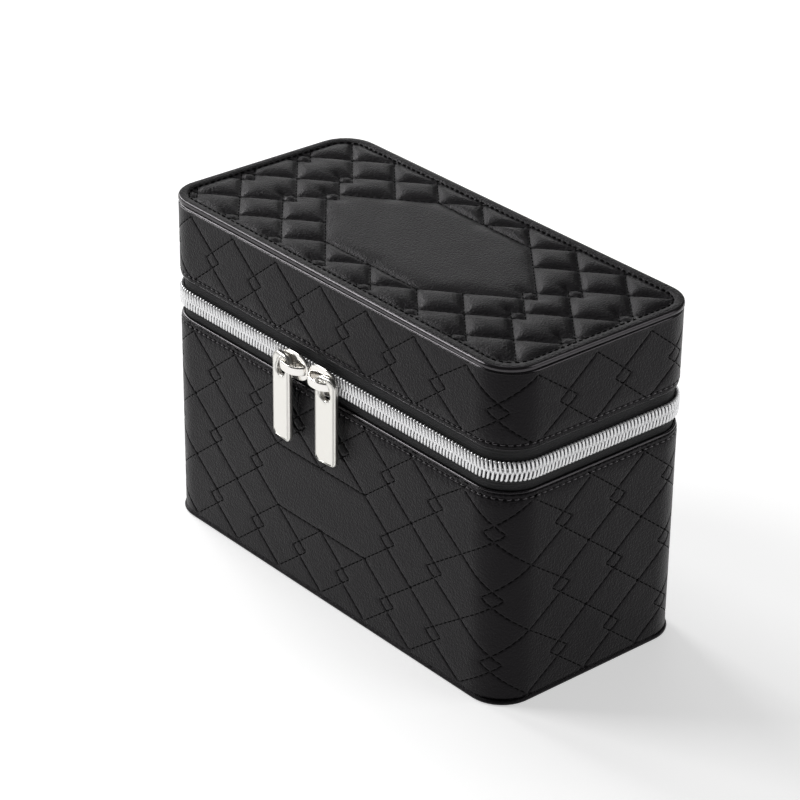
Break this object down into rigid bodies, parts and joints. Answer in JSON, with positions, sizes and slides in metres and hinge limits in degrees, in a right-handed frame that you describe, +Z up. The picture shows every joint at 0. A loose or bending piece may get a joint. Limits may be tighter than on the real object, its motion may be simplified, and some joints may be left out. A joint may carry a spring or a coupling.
{
  "type": "leather jewellery case",
  "caption": "Small rectangular zipped jewellery case in stitched leather, with a hinged quilted lid, zip sliders with swinging pulls, a lift-out ring tray and lined compartments.",
  "frame": {"origin": "on the floor under the middle of the case's base panel", "axes": "+Z up, +X along the length, the front with the zip pulls faces -Y and the lid hinges at +Y"},
  "size_m": [0.1808, 0.0911, 0.1255],
  "materials": {
    "black_leather": "fine grain with a soft sheen",
    "board": "plain greyboard",
    "foam": "open foam",
    "lining": "short suede pile",
    "zip_tape": "woven tape",
    "zip_coil": "silver-coated coil",
    "nickel": "polished nickel",
    "satin_nickel": "satin nickel",
    "ribbon": "grosgrain ribbon"
  },
  "bodies": {
    "case_body": {"base_panel": "black_leather", "base_board": "board", "body_leather": "black_leather", "body_wall_board": "board", "body_lining": "lining", "floor_pad": "lining", "tray_support_left": "lining", "tray_support_right": "lining", "lower_divider_1": "lining", "lower_divider_2": "lining", "zip_tape_lower": "zip_tape", "zip_teeth_lower": "zip_coil", "hinge_strip": "black_leather", "hinge_lining": "lining"},
    "lid": {"lid_wall_board": "board", "lid_top_board": "board", "lid_leather": "black_leather", "lid_lining": "lining", "lid_pad": "lining", "top_foam": "foam", "top_quilt": "black_leather", "zip_tape_upper": "zip_tape", "zip_teeth_upper": "zip_coil"},
    "left_slider": {"slider_left_body": "nickel", "slider_left_crown": "nickel"},
    "right_slider": {"slider_right_body": "nickel", "slider_right_crown": "nickel"},
    "left_pull": {"pull_left": "satin_nickel"},
    "right_pull": {"pull_right": "satin_nickel"},
    "tray": {"tray_shell": "lining", "tray_pad": "lining", "tray_partition": "lining", "tray_divider_long": "lining", "tray_divider_cross": "lining", "ring_roll_1": "lining", "ring_roll_2": "lining", "ring_roll_3": "lining", "ring_roll_4": "lining", "ring_roll_5": "lining", "ring_roll_6": "lining", "ring_roll_7": "lining", "tray_tab_left": "ribbon", "tray_tab_right": "ribbon"}
  },
  "joints": [
    {"name": "lid_hinge", "type": "hinge", "parent": "case_body", "child": "lid", "pos_m": [0, 0.0425, 0.08762], "axis": [-1, 0, 0], "range_deg": [0, 105], "deforming": ["hinge_strip", "hinge_lining"]},
    {"name": "left_slider_run", "type": "slide", "parent": "case_body", "child": "left_slider", "axis": [-1, 0, 0], "range_m": [0, 0.054]},
    {"name": "right_slider_run", "type": "slide", "parent": "case_body", "child": "right_slider", "axis": [1, 0, 0], "range_m": [0, 0.066]},
    {"name": "left_pull_swing", "type": "hinge", "parent": "left_slider", "child": "left_pull", "pos_m": [-0.0184, -0.0457, 0.08762], "axis": [0, 1, 0], "range_deg": [-8, 90]},
    {"name": "right_pull_swing", "type": "hinge", "parent": "right_slider", "child": "right_pull", "pos_m": [0.0052, -0.0457, 0.08762], "axis": [0, -1, 0], "range_deg": [-8, 90]},
    {"name": "tray_lift", "type": "slide", "parent": "case_body", "child": "tray", "axis": [0, 0, 1], "range_m": [0, 0.034]}
  ]
}
